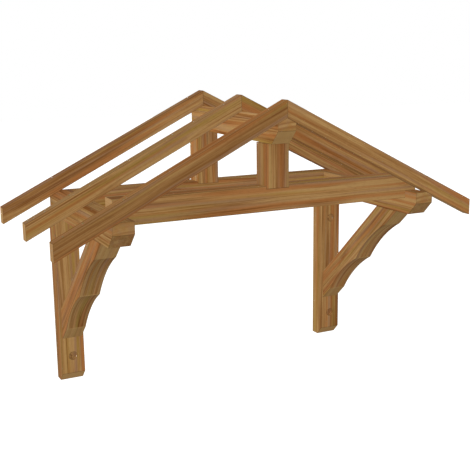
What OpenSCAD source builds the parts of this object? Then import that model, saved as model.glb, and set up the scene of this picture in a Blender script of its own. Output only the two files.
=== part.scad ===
// Timber porch canopy: two braced wall brackets carry a gable of three rafter pairs.
// The origin is the centre of the wall tie beam's back face. The wall is the plane y = 0,
// +Z is up and the canopy reaches out towards -Y.

/* [Timber sections] */
// Wide side of the main timbers
timber_w = 95; // [80:1:115]
// Narrow side of the main timbers
timber_t = 80; // [60:1:95]
// Thickness of a rafter
rafter_t = 43; // [30:1:60]
// Depth of a rafter, square to its slope
rafter_d = 58; // [45:1:80]
// Thickness of the ridge beam
ridge_t = 75; // [55:1:90]
// Depth of the ridge beam, down from its crest
ridge_d = 98; // [80:1:115]

/* [Wall brackets] */
// Distance between the centre lines of the two brackets
bracket_spacing = 1255; // [1100:5:1800]
// Height of a wall post, up to the underside of its arm
post_h = 702; // [600:1:900]
// Reach of an arm from the wall
arm_len = 779; // [650:1:950]
// Bevel on the front edge of a post's foot
post_bevel = 37; // [10:1:55]
// Bevel under the front end of an arm
arm_bevel = 50; // [10:1:60]

/* [Braces] */
// Height of a brace's lower corner above the foot of its post
brace_foot = 191; // [100:1:280]
// Distance of a brace's lower corner back from the end of its arm
brace_inset = 130; // [80:1:200]
// Plain length of a brace's lower edge, beside the post
brace_foot_land = 86; // [40:1:140]
// Plain length of a brace's lower edge, under the arm
brace_head_land = 109; // [40:1:160]
// Depth of the two hollows in a brace's lower edge
hollow_depth = 17.5; // [5:0.5:35]

/* [Gable] */
// Slope of the roof, in degrees
roof_pitch = 26.6; // [22:0.1:40]
// Width of the slope planed along the outer edge of an arm's top, to seat the rafters
rafter_seat = 28; // [15:1:40]
// Overhang of the rafters past the outer face of an arm
eaves_overhang = 198; // [80:1:320]
// Distance of the front tie beam back from the ends of the arms
tie_setback = 75; // [50:1:160]
// Depth of the seat that the front tie beam has in an arm
tie_seat = 30; // [15:1:45]
// Length of the front tie beam's end in its seat
tie_bearing = 50; // [20:1:55]
// Depth of the seat that a king post has in a tie beam
king_seat = 10; // [5:1:25]
// Distance of the ridge beam's end back from the ends of the arms
ridge_setback = 3; // [0:1:40]
// Bevel under the front end of the ridge beam
ridge_bevel = 50; // [10:1:60]

/* [Wall fixings] */
// Diameter of a bolt hole through a post
bolt_d = 12; // [8:1:18]
// Diameter of the recess for a bolt's head
recess_d = 35; // [24:1:45]
// Depth of the recess for a bolt's head
recess_depth = 22; // [10:1:40]
// Height of the lower bolt above the foot of its post
low_bolt = 111; // [70:1:150]
// Distance of the upper bolt below the top of its post
high_bolt = 127; // [60:1:200]

/* [Hidden] */
$fn = 96;
timber_colour = [0.62, 0.45, 0.26];
rafter_colour = [0.56, 0.40, 0.22];
cut_clearance = 1;

// Levels
arm_top = timber_w / 2;
arm_bottom = -timber_w / 2;
post_foot = arm_bottom - post_h;
tie_bottom = arm_top - tie_seat;
tie_top = tie_bottom + timber_w;

// Distances from the centre line and from the wall
bracket_x = bracket_spacing / 2;
arm_inner = bracket_x - timber_t / 2;
arm_outer = bracket_x + timber_t / 2;
eaves_x = arm_outer + eaves_overhang;
tie_front = arm_len - tie_setback;
tie_back = tie_front - timber_t;
tie_end = arm_inner + tie_bearing;
ridge_front = arm_len - ridge_setback;

// The undersides of the rafters lie in two planes, which seat on the outer edges of the arms
roof_slope = tan(roof_pitch);
roof_apex = arm_top + (arm_outer - rafter_seat) * roof_slope;
ridge_bottom = roof_apex - ridge_d;
rafter_plumb = rafter_d / cos(roof_pitch);
rafter_gap = (arm_len - rafter_t) / 2;

// A brace's lower edge runs from the face of the post to the underside of the arm
brace_run = arm_len - brace_inset - timber_t;
brace_rise = post_h - brace_foot;
brace_angle = atan2(brace_rise, brace_run);
brace_edge = norm([brace_run, brace_rise]);
hollow_len = (brace_edge - brace_foot_land - brace_head_land) / 2;
hollow_r = (pow(hollow_len / 2, 2) + pow(hollow_depth, 2)) / (2 * hollow_depth);

// Extrudes an outline of (distance from the wall, height) to a width about the centre line
module from_side(width) {
    rotate([90, 0, -90]) linear_extrude(width, center = true) children();
}

// Extrudes an outline of (distance from the centre line, height) out from the wall
module from_front(near, far) {
    translate([0, -near, 0]) rotate([90, 0, 0]) linear_extrude(far - near) children();
}

// Puts a right-hand piece on the right, or its mirror image on the left
module on_side(side) {
    mirror([side < 0 ? 1 : 0, 0, 0]) children();
}

// Outline of the space under the rafters, down to the feet of the posts
module under_roof() {
    reach = (roof_apex - post_foot) / roof_slope;
    polygon([[-reach, post_foot], [reach, post_foot], [0, roof_apex]]);
}

// Outline of a beam seen from the side, with a bevel under its front end
module bevelled_beam(length, bottom, top, bevel) {
    polygon([
        [0, bottom], [length - bevel, bottom], [length, bottom + bevel], [length, top], [0, top]
    ]);
}

// Bolt hole from the wall to the face of a post, with a recess for the bolt's head
module bolt_hole(height) {
    translate([0, cut_clearance, height]) rotate([90, 0, 0])
        cylinder(d = bolt_d, h = timber_t + 2 * cut_clearance);
    translate([0, recess_depth - timber_t, height]) rotate([90, 0, 0])
        cylinder(d = recess_d, h = recess_depth + cut_clearance);
}

module post(side) {
    color(timber_colour) on_side(side) translate([bracket_x, 0, 0]) difference() {
        from_side(timber_w) bevelled_beam(timber_t, post_foot, arm_bottom, post_bevel);
        bolt_hole(post_foot + low_bolt);
        bolt_hole(arm_bottom - high_bolt);
    }
}

module arm(side) {
    color(timber_colour) on_side(side) difference() {
        intersection() {
            translate([bracket_x, 0, 0])
                from_side(timber_t) bevelled_beam(arm_len, arm_bottom, arm_top, arm_bevel);
            from_front(0, arm_len) under_roof();
        }
        translate([arm_inner - cut_clearance, -tie_front, tie_bottom])
            cube([tie_bearing + cut_clearance, timber_t, timber_w]);
    }
}

// Brace outline along its lower edge, with two hollows that meet in a point
module brace_outline() {
    difference() {
        intersection() {
            translate([timber_t, post_foot + brace_foot]) rotate(brace_angle)
                translate([-brace_edge, 0]) square([3 * brace_edge, timber_w]);
            translate([timber_t, post_foot]) square([arm_len, post_h]);
        }
        translate([timber_t, post_foot + brace_foot]) rotate(brace_angle)
            for (i = [0, 1])
                translate([brace_foot_land + (i + 0.5) * hollow_len, hollow_depth - hollow_r])
                    circle(r = hollow_r);
    }
}

module brace(side) {
    color(timber_colour) on_side(side) translate([bracket_x, 0, 0])
        from_side(timber_t) brace_outline();
}

// Beam across the canopy, with a seat for a king post in the middle of its top
module tie_beam(near, bottom, half_length) {
    color(timber_colour) from_front(near, near + timber_t) difference() {
        translate([-half_length, bottom]) square([2 * half_length, timber_w]);
        translate([-timber_w / 2, bottom + timber_w - king_seat])
            square([timber_w, king_seat + cut_clearance]);
    }
}

module front_tie_beam() {
    tie_beam(tie_back, tie_bottom, tie_end);
}

module wall_tie_beam() {
    tie_beam(0, arm_bottom, arm_inner);
}

// Upright from its seat in a tie beam to the underside of the ridge beam
module king_post(near, beam_top) {
    foot = beam_top - king_seat;
    color(timber_colour) from_front(near, near + timber_t)
        translate([-timber_w / 2, foot]) square([timber_w, ridge_bottom - foot]);
}

module ridge_beam() {
    color(timber_colour) intersection() {
        from_side(ridge_t) bevelled_beam(ridge_front, ridge_bottom, roof_apex, ridge_bevel);
        from_front(0, ridge_front) under_roof();
    }
}

// One rafter of a pair; row 0 is at the wall and row 2 at the front
module rafter(side, row) {
    foot = roof_apex - eaves_x * roof_slope;
    color(rafter_colour) on_side(side) from_front(row * rafter_gap, row * rafter_gap + rafter_t)
        polygon([
            [0, roof_apex], [eaves_x, foot], [eaves_x, foot + rafter_plumb],
            [0, roof_apex + rafter_plumb]
        ]);
}

post(-1);  // left_post
post(1);  // right_post
arm(-1);  // left_arm
arm(1);  // right_arm
brace(-1);  // left_brace
brace(1);  // right_brace
front_tie_beam();
wall_tie_beam();
king_post(tie_back, tie_top);  // front_king_post
king_post(0, arm_top);  // rear_king_post
ridge_beam();
rafter(-1, 2);  // front_left_rafter
rafter(1, 2);  // front_right_rafter
rafter(-1, 1);  // middle_left_rafter
rafter(1, 1);  // middle_right_rafter
rafter(-1, 0);  // rear_left_rafter
rafter(1, 0);  // rear_right_rafter
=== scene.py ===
# Timber porch canopy: finishes for its seventeen timbers, a pale studio and the camera
import math
import bpy
from mathutils import Matrix, Vector


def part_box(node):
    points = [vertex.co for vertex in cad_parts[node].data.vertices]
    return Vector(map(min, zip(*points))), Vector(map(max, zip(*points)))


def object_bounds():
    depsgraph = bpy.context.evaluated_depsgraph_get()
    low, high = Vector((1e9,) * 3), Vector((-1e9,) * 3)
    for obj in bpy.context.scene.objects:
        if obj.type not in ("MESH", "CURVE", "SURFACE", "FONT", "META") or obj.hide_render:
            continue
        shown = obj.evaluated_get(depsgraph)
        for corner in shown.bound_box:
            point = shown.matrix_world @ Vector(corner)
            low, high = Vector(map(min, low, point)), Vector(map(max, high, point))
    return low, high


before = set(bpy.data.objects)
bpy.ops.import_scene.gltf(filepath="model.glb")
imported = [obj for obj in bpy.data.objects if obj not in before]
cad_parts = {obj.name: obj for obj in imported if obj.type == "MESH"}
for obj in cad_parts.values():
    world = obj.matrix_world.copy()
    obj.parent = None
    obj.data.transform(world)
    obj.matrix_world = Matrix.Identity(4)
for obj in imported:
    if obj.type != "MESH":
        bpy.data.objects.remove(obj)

cad_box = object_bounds()

# Directions on the canopy, for someone who faces the wall; both slopes run from left to right
ROOF_PITCH = math.radians(26.6)
RIGHT = Vector((1, 0, 0))
OUT = Vector((0, -1, 0))
UP = Vector((0, 0, 1))
LEFT_SLOPE = Vector((math.cos(ROOF_PITCH), 0.0, math.sin(ROOF_PITCH)))
RIGHT_SLOPE = Vector((math.cos(ROOF_PITCH), 0.0, -math.sin(ROOF_PITCH)))

# Camera, as found from the edges of the timbers in the photograph
PHOTO_SIDE_PX = 470
FOCAL_LENGTH_PX = 891.4
OPTICAL_CENTRE_PX = Vector((286.9, 234.6))
CAMERA_PLACE = Vector((-1.5809, -3.5757, 0.6286))
CAMERA_TURN = math.radians(29.42)
CAMERA_DIP = math.radians(12.10)
SENSOR_MM = 36.0

# Studio: white to look at, with a soft glow, one broad light from the left and weak fills all round
FOOT_ABOVE_FLOOR = 1.45
FLOOR_SIDE = 60.0
FLOOR_GLOW = 0.25
FLOOR_ROUGHNESS = 0.9
GLOW = 0.42
LAMPS = {
    "broad_key": (Vector((-0.80, -0.50, 0.30)), 2.35),
    "left_fill": (Vector((-1, 0, 0)), 1.12),
    "right_fill": (Vector((1, 0, 0)), 1.26),
    "front_fill": (Vector((0, -1, 0)), 1.26),
    "wall_fill": (Vector((0, 1, 0)), 1.26),
    "top_fill": (Vector((0, 0, 1)), 1.26),
    "floor_fill": (Vector((0, 0, -1)), 0.45),
}

# Arrises of the planed timber: eased by a few strokes of a plane, and given a darker copy of the
# finish, which is painted shade along every edge
ARRIS_WIDTH = 0.0012
ARRIS_PAINTED_SHADE = 0.55
ARRIS_STEPS = 2
ARRIS_ANGLE = math.radians(30)
ARRIS_SLOT = 1
CREASE_ANGLE = math.radians(8)
FLAT_ANGLE = math.radians(0.5)
WELD_DISTANCE = 1e-5
FACE_WEIGHT = 100

# How squarely a face looks in a direction before it counts, from not at all to fully
END_TURN = (0.72, 0.88)
CUT_TURN = (0.2, 0.5)
UNDER_TURN = (0.7, 0.9)
TOP_TURN = (0.6, 0.8)
LEFT_TURN = (0.6, 0.8)
BACK_TURN = (0.5, 0.8)

# Bevels and hollows: their figure is calmer, and a brace's plain lands beside the hollows are paler
CUT_CALM = 0.65
HOLLOW_DEPTH = (0.0004, 0.0016)
LAND_PALENESS = 0.6

# Bolt recesses, which get painted shade, from the middle of a post's face at its foot: inwards, to
# either side and upwards
RECESS_DEPTH = (0.0015, 0.003)
RECESS_SIDE = (0.018, 0.019)
RECESS_HEIGHT = (0.045, 0.055)

# The heart of the tree wanders along a timber; each board is another place in the same wood
BOARD_STRIDE = Vector((7.3, 3.1, 5.7))
WANDER_PACE = (1.8, 1.0, 1.0)
WANDER_REACH = (0.0, 0.016, 0.016)
WANDER_DETAIL = 1.0

# Growth rings per metre, the pace of good and poor seasons, and where late wood lies in a ring
RINGS_PER_METRE = 240
SEASONS_PER_METRE = 55
SEASON_DETAIL = 2.0
RING_UNEVENNESS = 2.0
LATE_WOOD = (0.45, 0.95)
RING_END = (0.95, 1.0)

# Marks of the grain: how often they change along and across the fibres, per metre, and their detail
BAND_MARKS = (1.2, 22, 1.0)
STREAK_MARKS = (2.0, 65, 2.0)
THREAD_MARKS = (2.6, 210, 2.0)
RED_MARKS = (1.4, 50, 0.0)
OLIVE_MARKS = (1.2, 38, 0.0)
GREY_MARKS = (1.6, 58, 0.0)
FIBRE_MARKS = (10, 900, 2.0)
PORE_MARKS = (45, 1300, 0.0)

# Tone of the wood, from dark to light, and what each mark adds to it
MEAN_TONE = 0.43
BAND_TONE = 0.42
STREAK_TONE = 0.5
THREAD_TONE = 0.7
SEASON_TONE = 0.15
END_SEASON_TONE = 0.32
END_DARKENING = 0.15
DARK_TONES = (0.29, 0.52)
LIGHT_TONES = (0.46, 0.66)
DARK_STRENGTH = 0.9

# Patches of red, olive and grey: where they begin, how strong they are, and less so on end grain
TINT_EDGE = (0.47, 0.74)
TINT_STRENGTH = 0.75
TINT_SHIFT = 1.5
END_TINT_LOSS = 0.6

# Pores, fibres and late wood in the colour, the gloss and the relief of the stained surface
PORE_EDGE = (0.64, 0.72)
PORE_STRENGTH = 0.3
BASE_SHADE = 1.08
LATE_WOOD_SHADE = 0.10
FIBRE_SHADE = 0.16
SATIN_ROUGHNESS = 0.70
LIGHT_POLISH = 0.08
PORE_ROUGHNESS = 0.12
SATIN_SHEEN = 0.03
FIBRE_RELIEF = 0.6
LATE_WOOD_RELIEF = 0.35
PORE_RELIEF = 0.5
RELIEF_STRENGTH = 0.35
RELIEF_HEIGHT = 0.0006


def srgb(red, green, blue):
    """A colour as it looks on a screen, from 0 to 255, as scene light."""
    def light(level):
        level /= 255
        return level / 12.92 if level <= 0.04045 else ((level + 0.055) / 1.055) ** 2.4
    return (light(red), light(green), light(blue), 1.0)


# Colours of the stained timber and the floor
LIGHT_TAN = srgb(156, 122, 76)
MID_BROWN = srgb(136, 98, 56)
DARK_BROWN = srgb(104, 63, 26)
OLIVE = srgb(135, 107, 49)
RED_BROWN = srgb(142, 89, 46)
GREY_TAN = srgb(133, 100, 73)
WEATHERED = srgb(154, 123, 77)
END_GRAIN = srgb(164, 129, 86)
PORE_BROWN = srgb(84, 57, 31)
FLOOR_WHITE = srgb(250, 250, 249)
SKY_WHITE = (1.0, 1.0, 1.0, 1.0)


class Value:
    """A number that varies over a surface. Arithmetic on it adds Math nodes to its graph."""

    def __init__(self, graph, socket):
        self.graph = graph
        self.socket = socket

    def __add__(self, other):
        return self.graph.math("ADD", self, other)

    def __sub__(self, other):
        return self.graph.math("SUBTRACT", self, other)

    def __rsub__(self, other):
        return self.graph.math("SUBTRACT", other, self)

    def __mul__(self, other):
        return self.graph.math("MULTIPLY", self, other)

    def __abs__(self):
        return self.graph.math("ABSOLUTE", self)

    __radd__ = __add__
    __rmul__ = __mul__


class Graph:
    """A tree of nodes: a finish, the sky of the studio or a step in making a shape."""

    def __init__(self, tree):
        self.tree = tree
        self.tree.nodes.clear()

    def node(self, kind, settings=None, sockets=None, output=None):
        """Adds a node. Its sockets go by identifier, and so does the output that comes back."""
        made = self.tree.nodes.new(kind)
        for setting, choice in (settings or {}).items():
            setattr(made, setting, choice)
        inputs = {socket.identifier: socket for socket in made.inputs}
        for name, given in (sockets or {}).items():
            if isinstance(given, Value):
                self.tree.links.new(given.socket, inputs[name])
            else:
                inputs[name].default_value = given
        outputs = {socket.identifier: socket for socket in made.outputs}
        if outputs:
            return Value(self, outputs[output] if output else made.outputs[0])

    def math(self, operation, *numbers):
        sockets = dict(zip(("Value", "Value_001"), numbers))
        return self.node("ShaderNodeMath", {"operation": operation}, sockets)

    def vector(self, operation, first, second):
        sockets = {"Vector": first, "Vector_001": second}
        return self.node("ShaderNodeVectorMath", {"operation": operation}, sockets, "Vector")

    def dot(self, first, second):
        sockets = {"Vector": first, "Vector_001": second}
        return self.node("ShaderNodeVectorMath", {"operation": "DOT_PRODUCT"}, sockets, "Value")

    def length(self, vector):
        return self.node("ShaderNodeVectorMath", {"operation": "LENGTH"}, {"Vector": vector}, "Value")

    def scale(self, vector, factor):
        sockets = {"Vector": vector, "Scale": factor}
        return self.node("ShaderNodeVectorMath", {"operation": "SCALE"}, sockets, "Vector")

    def noise(self, place, detail, output="Fac"):
        sockets = {"Vector": place, "Scale": 1.0, "Detail": detail}
        return self.node("ShaderNodeTexNoise", {"noise_dimensions": "3D"}, sockets, output)

    def step(self, value, low, high):
        """0 below low and 1 above high, with a smooth rise between them."""
        settings = {"interpolation_type": "SMOOTHSTEP", "clamp": True}
        sockets = {"Value": value, "From Min": low, "From Max": high}
        return self.node("ShaderNodeMapRange", settings, sockets, "Result")

    def blend(self, factor, first, second):
        settings = {"data_type": "RGBA", "blend_type": "MIX"}
        sockets = {"Factor_Float": factor, "A_Color": first, "B_Color": second}
        return self.node("ShaderNodeMix", settings, sockets, "Result_Color")


class Finish(Graph):
    """A material that is built node by node."""

    def __init__(self, name):
        self.material = bpy.data.materials.new(name)
        self.material.use_nodes = True
        super().__init__(self.material.node_tree)

    def surface(self, sockets):
        shader = self.node("ShaderNodeBsdfPrincipled", {}, sockets, "BSDF")
        self.node("ShaderNodeOutputMaterial", {}, {"Surface": shader})
        return self.material


class Timber(Finish):
    """Stained timber with its streaks, rings and pores along the piece's own grain."""

    def __init__(self, name, look):
        super().__init__(name)
        self.look = look
        self.spot = self.node("ShaderNodeTexCoord", output="Object")
        self.normal = self.node("ShaderNodeTexCoord", output="Normal")
        self.straight = self.node("ShaderNodeMapping", {"vector_type": "POINT"}, {
            "Vector": self.spot,
            "Rotation": look["axes"].to_euler(),
            "Location": -(look["axes"] @ look["heart"]),
        })
        self.tell_faces()
        if look["land"]:
            self.follow_hollows()
        self.stain_and_shade_faces()
        if look["bolt_face"]:
            self.paint_recess_shade()
        self.wander()
        self.grow_rings()

    def facing(self, direction, turn):
        """1 on the faces that look in a direction and 0 on the others."""
        return self.step(self.dot(self.normal, direction), *turn)

    def tell_faces(self):
        """Tells end grain, where the fibres are cut across, and bevels from the plain sides."""
        slant = abs(self.dot(self.normal, self.look["along"]))
        self.end = self.step(slant, *END_TURN)
        self.side = 1 - self.end
        self.cut = self.step(slant, *CUT_TURN) * self.side
        self.pale = self.cut * self.look["pale_cut"]
        self.calm = 1 - self.cut * CUT_CALM
        self.upper = self.facing(UP, TOP_TURN)

    def follow_hollows(self):
        """On a brace's lower side the hollows are the cuts, and the streaks follow its edge."""
        corner, down = self.look["land"]
        under = self.facing(down, UNDER_TURN)
        depth = self.dot(self.vector("SUBTRACT", corner, self.spot), down)
        self.cut = self.step(depth, *HOLLOW_DEPTH) * under
        self.pale = self.cut * self.look["pale_cut"] + (under - self.cut) * LAND_PALENESS
        self.calm = 1
        even = self.node("ShaderNodeCombineXYZ", {}, {"X": 1.0, "Y": 1.0, "Z": 1 - under})
        self.straight = self.vector("MULTIPLY", self.straight, even)

    def stain_and_shade_faces(self):
        """Cuts take more or less of the stain, tops get painted shade or, below zero, painted light,
        and left sides are made darker or lighter.
        """
        look = self.look
        left = self.facing(-RIGHT, LEFT_TURN)
        # Stain on the cuts, painted shade on the tops and darker or lighter left sides, summed into one
        # darkening
        self.stain = self.cut * look["cut_stain"] + self.upper * look["top_painted_shade"]
        self.stain = self.stain + left * look["left_side_darkening"]

    def paint_recess_shade(self):
        """Paints shade into the recesses for the bolts, which lie behind a post's face, in its middle
        and above its foot.
        """
        inside = self.vector("SUBTRACT", self.spot, self.look["bolt_face"])
        deep = self.step(self.dot(inside, -OUT), *RECESS_DEPTH)
        beside = self.step(abs(self.dot(inside, RIGHT)), *RECESS_SIDE)
        above = self.step(self.dot(inside, UP), *RECESS_HEIGHT)
        recess = deep * (1 - beside) * above * (1 - self.facing(-OUT, BACK_TURN))
        self.pale = self.pale * (1 - recess)
        # Painted shade inside the recess, in place of the face's own stain
        self.stain = self.stain * (1 - recess) + recess * self.look["recess_painted_shade"]

    def wander(self):
        """Lets the heart of the tree wander slowly from side to side along the piece."""
        seed = BOARD_STRIDE * self.look["board"]
        slow = self.vector("MULTIPLY", self.vector("ADD", self.straight, seed), WANDER_PACE)
        drift = self.vector("SUBTRACT", self.noise(slow, WANDER_DETAIL, "Color"), (0.5, 0.5, 0.5))
        drift = self.vector("MULTIPLY", drift, WANDER_REACH)
        self.grain = self.vector("ADD", self.straight, drift)
        self.seeded = self.vector("ADD", self.grain, seed)

    def grow_rings(self):
        """The distance from the heart sets the seasons and the growth rings."""
        radius = self.length(self.vector("MULTIPLY", self.grain, (0.0, 1.0, 1.0)))
        self.season = self.node("ShaderNodeTexNoise", {"noise_dimensions": "1D"}, {
            "W": radius * SEASONS_PER_METRE + self.look["board"],
            "Scale": 1.0,
            "Detail": SEASON_DETAIL,
        }, "Fac")
        ring = self.math("FRACT", radius * RINGS_PER_METRE + self.season * RING_UNEVENNESS)
        self.late_wood = self.step(ring, *LATE_WOOD) * (1 - self.step(ring, *RING_END))

    def marks(self, along, across, detail):
        """Noise that is drawn out along the grain."""
        return self.noise(self.vector("MULTIPLY", self.seeded, (along, across, across)), detail)

    def tone(self):
        """How light the wood is: its figure on the sides, and its seasons most of all on end grain."""
        look = self.look
        streaks = self.marks(*STREAK_MARKS) * STREAK_TONE + self.marks(*BAND_MARKS) * BAND_TONE
        broad = (streaks - (STREAK_TONE + BAND_TONE) / 2) * look["figure"]
        threads = (self.marks(*THREAD_MARKS) - 0.5) * THREAD_TONE * min(1.0, look["figure"])
        figure = (broad + threads) * self.side * self.calm
        seasons = self.season * (SEASON_TONE + self.end * END_SEASON_TONE)
        return figure + seasons - self.end * END_DARKENING + look["tone"] + MEAN_TONE

    def tint(self, marks, shift):
        """Patches of another hue, weaker on end grain and on cuts."""
        shown = (1 - self.end * END_TINT_LOSS) * self.calm
        return self.step(self.marks(*marks) + shift, *TINT_EDGE) * shown

    def brown(self, light, dark):
        """The browns of the wood, before its fibres, its stain and its pores."""
        look = self.look
        shift = look["red"] * TINT_SHIFT
        red = self.tint(RED_MARKS, shift)
        olive = self.tint(OLIVE_MARKS, -shift)
        grey = self.tint(GREY_MARKS, 0.0) + self.upper * look["grey_top"]
        colour = self.blend(light, MID_BROWN, LIGHT_TAN)
        colour = self.blend(olive * TINT_STRENGTH, colour, OLIVE)
        colour = self.blend(grey * TINT_STRENGTH, colour, GREY_TAN)
        colour = self.blend(red * TINT_STRENGTH, colour, RED_BROWN)
        colour = self.blend(dark * DARK_STRENGTH, colour, DARK_BROWN)
        colour = self.blend(self.end * look["pale_ends"], colour, END_GRAIN)
        return self.blend(self.pale, colour, WEATHERED)

    def stained(self):
        """The finished surface: colour, satin gloss and the relief of the grain."""
        tone = self.tone()
        light = self.step(tone, *LIGHT_TONES)
        dark = 1 - self.step(tone, *DARK_TONES)
        fibre = self.marks(*FIBRE_MARKS)
        pore = self.step(self.marks(*PORE_MARKS), *PORE_EDGE)
        # The darkening taken off here holds stain and also painted shade on tops and in recesses
        shade = BASE_SHADE - self.late_wood * LATE_WOOD_SHADE - fibre * FIBRE_SHADE - self.stain
        colour = self.scale(self.brown(light, dark), shade * self.look["shade"])
        relief = fibre * FIBRE_RELIEF + self.late_wood * LATE_WOOD_RELIEF - pore * PORE_RELIEF
        bump = {"Strength": RELIEF_STRENGTH, "Distance": RELIEF_HEIGHT, "Height": relief}
        return self.surface({
            "Base Color": self.blend(pore * PORE_STRENGTH, colour, PORE_BROWN),
            "Roughness": SATIN_ROUGHNESS - light * LIGHT_POLISH + pore * PORE_ROUGHNESS,
            "Specular IOR Level": SATIN_SHEEN,
            "Normal": self.node("ShaderNodeBump", {}, bump, "Normal"),
        })


def grain_axes(along, across, lean):
    """Rows that turn a point of the canopy into lengths along and across the leaning grain."""
    third = along.cross(across)
    fibres = along * math.cos(lean) + across * math.sin(lean)
    return Matrix((fibres, third.cross(fibres), third))


def brace_run(name):
    """The direction of a brace, from its foot on the post to its head under the arm."""
    low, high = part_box(name)
    return Vector((0.0, low.y - high.y, high.z - low.z)).normalized()


# Each timber: the run of its grain, a direction across it, its board, figure, shade, tone and redness
TIMBERS = {
    "left_post": (UP, RIGHT, 71, 0.75, 1.05, 0.04, -0.02),
    "right_post": (UP, RIGHT, 114, 1.50, 0.97, 0.00, 0.02),
    "left_arm": (OUT, RIGHT, 54, 1.80, 0.94, 0.02, 0.03),
    "right_arm": (OUT, RIGHT, 56, 1.40, 0.90, 0.06, 0.03),
    "left_brace": (brace_run("left_brace"), RIGHT, 48, 1.15, 1.00, 0.02, 0.03),
    "right_brace": (brace_run("right_brace"), RIGHT, 59, 1.15, 0.90, 0.02, 0.01),
    "front_tie_beam": (RIGHT, UP, 58, 1.40, 0.98, 0.02, 0.00),
    "wall_tie_beam": (RIGHT, UP, 75, 1.15, 1.01, -0.02, -0.01),
    "front_king_post": (UP, RIGHT, 41, 0.90, 0.97, 0.01, 0.01),
    "rear_king_post": (UP, RIGHT, 59, 0.75, 1.04, 0.00, 0.01),
    "ridge_beam": (OUT, RIGHT, 13, 1.20, 1.02, 0.02, 0.01),
    "front_left_rafter": (LEFT_SLOPE, OUT, 92, 0.65, 0.91, -0.06, 0.02),
    "front_right_rafter": (RIGHT_SLOPE, OUT, 26, 0.65, 1.04, 0.03, -0.03),
    "middle_left_rafter": (LEFT_SLOPE, OUT, 11, 1.10, 0.97, 0.04, -0.04),
    "middle_right_rafter": (RIGHT_SLOPE, OUT, 120, 0.70, 1.04, -0.05, 0.04),
    "rear_left_rafter": (LEFT_SLOPE, OUT, 4, 0.85, 1.04, -0.04, 0.04),
    "rear_right_rafter": (RIGHT_SLOPE, OUT, 13, 1.40, 0.93, -0.04, 0.03),
}

# Where the heart of the tree lies beside a timber, in turn; the timbers that reach out are cut flat
HEARTS_ASIDE = ((0.062, 0.018), (-0.055, 0.030), (0.030, -0.070), (-0.075, -0.020), (0.020, 0.060))
HEART_BELOW = (0.04, -0.40)
LEANS = [math.radians(degrees) for degrees in (0.7, -0.5, 0.4, -0.8, 0.6, -0.3, 0.5)]

# Paler places: the ends of timbers that run across the canopy, and bevels or hollows
PALE_ENDS = 0.7
PALE_CUTS = {"ridge_beam": 0.75, "right_brace": 0.1, "left_post": 0.5, "right_post": 0.5}

# Stain that darkens a cut, left sides made darker, and painted shade on tops and in bolt recesses;
# below zero the place is lighter
CUT_STAINS = {"left_brace": 0.08, "left_arm": 0.08, "right_arm": 0.13}
# Painted shade on the tops of the rafters; below zero a top is painted lighter
RAFTER_TOP_PAINTED_SHADE = 0.12
TOP_PAINTED_SHADES = {"front_left_rafter": 0.0, "rear_left_rafter": 0.15, "ridge_beam": -0.12}
# Left sides made darker, or lighter below zero, one timber at a time
LEFT_SIDE_DARKENING = {
    "left_post": 0.10, "right_arm": -0.06, "front_king_post": 0.10, "rear_king_post": -0.14,
    "ridge_beam": -0.10,
}
# Painted shade inside the bolt recesses of the posts
RECESS_PAINTED_SHADES = {"left_post": 0.18, "right_post": 0.10}

# Tops that have gone grey
GREY_TOPS = {"middle_left_rafter": 0.5, "rear_left_rafter": 0.8}


def timber_look(name):
    """How one timber was cut from the tree, the stain that it took, and the shade painted on its tops
    and in its recesses.
    """
    along, across, board, figure, shade, tone, red = TIMBERS[name]
    low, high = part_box(name)
    axes = grain_axes(along, across, LEANS[board % len(LEANS)])
    aside, deep = HEART_BELOW if along == OUT else HEARTS_ASIDE[board % len(HEARTS_ASIDE)]
    land = None
    if "brace" in name:
        land = (Vector((0.0, high.y, low.z)), RIGHT.cross(along))
    bolt_face = None
    if name in RECESS_PAINTED_SHADES:
        bolt_face = Vector(((low.x + high.x) / 2, low.y, low.z))
    return {
        "along": along,
        "axes": axes,
        "heart": (low + high) / 2 + axes.transposed() @ Vector((0.0, aside, deep)),
        "board": board,
        "figure": figure,
        "shade": shade,
        "tone": tone,
        "red": red,
        "land": land,
        "bolt_face": bolt_face,
        "pale_ends": PALE_ENDS if along.x else 0.0,
        "pale_cut": PALE_CUTS.get(name, 0.0),
        "cut_stain": CUT_STAINS.get(name, 0.0),
        "top_painted_shade": TOP_PAINTED_SHADES.get(name, RAFTER_TOP_PAINTED_SHADE if "rafter" in name else 0.0),
        "left_side_darkening": LEFT_SIDE_DARKENING.get(name, 0.0),
        "recess_painted_shade": RECESS_PAINTED_SHADES.get(name, 0.0),
        "grey_top": GREY_TOPS.get(name, 0.0),
    }


def crisp_creases():
    """Shades a timber smooth along its hollows and crisp at every crease."""
    tree = bpy.data.node_groups.new("crisp_creases", "GeometryNodeTree")
    given = tree.interface.new_socket("Timber", in_out="INPUT", socket_type="NodeSocketGeometry")
    made = tree.interface.new_socket("Timber", in_out="OUTPUT", socket_type="NodeSocketGeometry")
    graph = Graph(tree)
    timber_in = graph.node("NodeGroupInput", output=given.identifier)
    angle = graph.node("GeometryNodeInputMeshEdgeAngle", output="Unsigned Angle")
    crease = graph.math("GREATER_THAN", angle, CREASE_ANGLE)
    smooth = graph.node(
        "GeometryNodeSetShadeSmooth", {"domain": "FACE"}, {"Geometry": timber_in, "Shade Smooth": True})
    crisp = graph.node(
        "GeometryNodeSetShadeSmooth", {"domain": "EDGE"},
        {"Geometry": smooth, "Selection": crease, "Shade Smooth": False})
    graph.node("NodeGroupOutput", sockets={made.identifier: crisp})
    return tree


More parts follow.
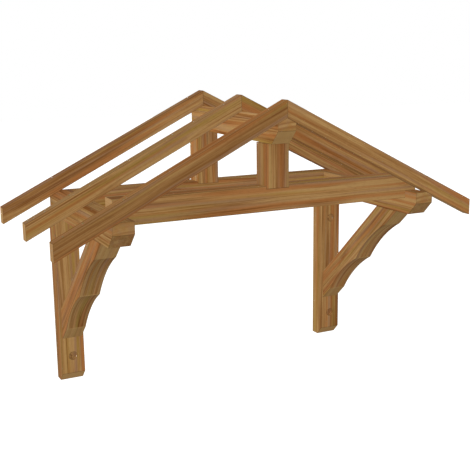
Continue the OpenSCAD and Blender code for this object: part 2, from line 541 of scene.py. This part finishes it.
def ease_arrises(piece, creases):
    """Joins the faces of a timber and planes its sharp corners."""
    weld = piece.modifiers.new("joined_faces", "WELD")
    weld.merge_threshold = WELD_DISTANCE
    flat = piece.modifiers.new("whole_faces", "DECIMATE")
    flat.decimate_type = "DISSOLVE"
    flat.angle_limit = FLAT_ANGLE
    plane = piece.modifiers.new("eased_arrises", "BEVEL")
    plane.width = ARRIS_WIDTH
    plane.segments = ARRIS_STEPS
    plane.limit_method = "ANGLE"
    plane.angle_limit = ARRIS_ANGLE
    plane.use_clamp_overlap = False
    plane.material = ARRIS_SLOT
    piece.modifiers.new("crisp_creases", "NODES").node_group = creases
    even = piece.modifiers.new("even_shading", "WEIGHTED_NORMAL")
    even.weight = FACE_WEIGHT
    even.keep_sharp = True


def dress_timbers():
    """Gives every timber its own finish, a darker copy of it with painted shade for its arrises, and
    the arrises themselves.
    """
    creases = crisp_creases()
    for name in TIMBERS:
        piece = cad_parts[name]
        look = timber_look(name)
        # The arris finish is the same timber made darker: painted shade along the edges
        painted_shade_arris_look = {**look, "shade": look["shade"] * ARRIS_PAINTED_SHADE}
        piece.data.materials.clear()
        piece.data.materials.append(Timber(f"{name}_timber", look).stained())
        piece.data.materials.append(Timber(f"{name}_arris", painted_shade_arris_look).stained())
        ease_arrises(piece, creases)


def lay_floor():
    """A plain pale floor, as far below the canopy as a doorstep would be."""
    level = cad_box[0].z - FOOT_ABOVE_FLOOR
    half = FLOOR_SIDE / 2
    corners = [(-half, -half, level), (half, -half, level), (half, half, level), (-half, half, level)]
    mesh = bpy.data.meshes.new("floor")
    mesh.from_pydata(corners, [], [(0, 1, 2, 3)])
    floor = bpy.data.objects.new("floor", mesh)
    bpy.context.scene.collection.objects.link(floor)
    finish = Finish("pale_floor")
    mesh.materials.append(finish.surface({
        "Base Color": FLOOR_WHITE,
        "Roughness": FLOOR_ROUGHNESS,
        "Specular IOR Level": 0.0,
        "Emission Color": FLOOR_WHITE,
        "Emission Strength": FLOOR_GLOW,
    }))
    floor.visible_diffuse = False
    floor.visible_glossy = False


def light_studio():
    """White to look at, with a soft glow and broad lights that throw no shadows."""
    scene = bpy.context.scene
    scene.view_settings.view_transform = "Standard"
    scene.world = bpy.data.worlds.new("white_studio")
    scene.world.use_nodes = True
    studio = Graph(scene.world.node_tree)
    seen = studio.node("ShaderNodeLightPath", output="Is Camera Ray")
    glow = seen * (1.0 - GLOW) + GLOW
    sky = studio.node("ShaderNodeBackground", {}, {"Color": SKY_WHITE, "Strength": glow})
    studio.node("ShaderNodeOutputWorld", {}, {"Surface": sky})
    for name, (source, strength) in LAMPS.items():
        lamp = bpy.data.lights.new(name, "SUN")
        lamp.energy = strength
        lamp.use_shadow = False
        light = bpy.data.objects.new(name, lamp)
        light.rotation_euler = (-source).to_track_quat("-Z", "Y").to_euler()
        scene.collection.objects.link(light)


def place_camera():
    """The camera of the photograph, with its frame shifted off the lens's own centre."""
    lens = bpy.data.cameras.new("camera")
    lens.sensor_width = SENSOR_MM
    lens.lens = FOCAL_LENGTH_PX / PHOTO_SIDE_PX * SENSOR_MM
    lens.shift_x = 0.5 - OPTICAL_CENTRE_PX.x / PHOTO_SIDE_PX
    lens.shift_y = OPTICAL_CENTRE_PX.y / PHOTO_SIDE_PX - 0.5
    camera = bpy.data.objects.new("camera", lens)
    camera.location = CAMERA_PLACE
    camera.rotation_euler = (math.pi / 2 - CAMERA_DIP, 0.0, -CAMERA_TURN)
    bpy.context.scene.collection.objects.link(camera)
    bpy.context.scene.camera = camera


place_camera()
dress_timbers()
lay_floor()
light_studio()
